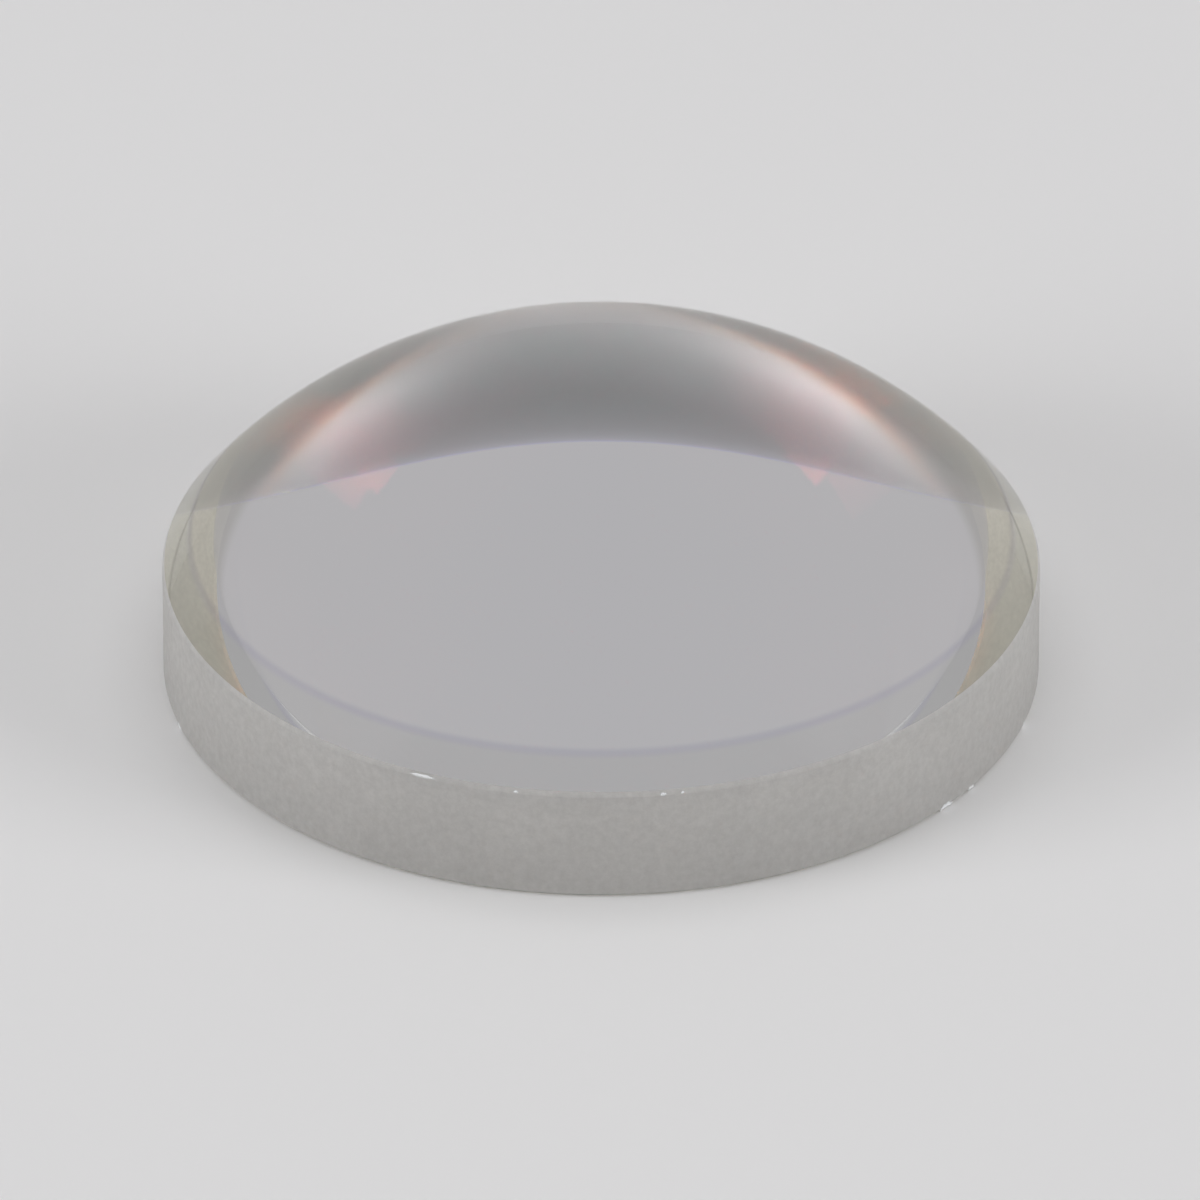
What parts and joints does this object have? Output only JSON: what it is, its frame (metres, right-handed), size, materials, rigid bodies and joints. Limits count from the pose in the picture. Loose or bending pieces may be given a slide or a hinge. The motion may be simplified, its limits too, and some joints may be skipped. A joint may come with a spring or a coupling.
{
  "type": "aspheric condenser lens",
  "caption": "Plano-convex aspheric condenser lens of clear glass, with a polished dome, a polished flat face and a fine-ground cylindrical edge.",
  "frame": {"origin": "centre of the flat face", "axes": "+Z along the optical axis, from the flat face to the dome's vertex; X and Y lie in the flat face"},
  "size_m": [0.025, 0.025, 0.0096],
  "materials": {
    "lens_glass": "polished dome and flat face, fine-ground edge"
  },
  "bodies": {
    "root": {"condenser_lens": "lens_glass"}
  },
  "joints": []
}
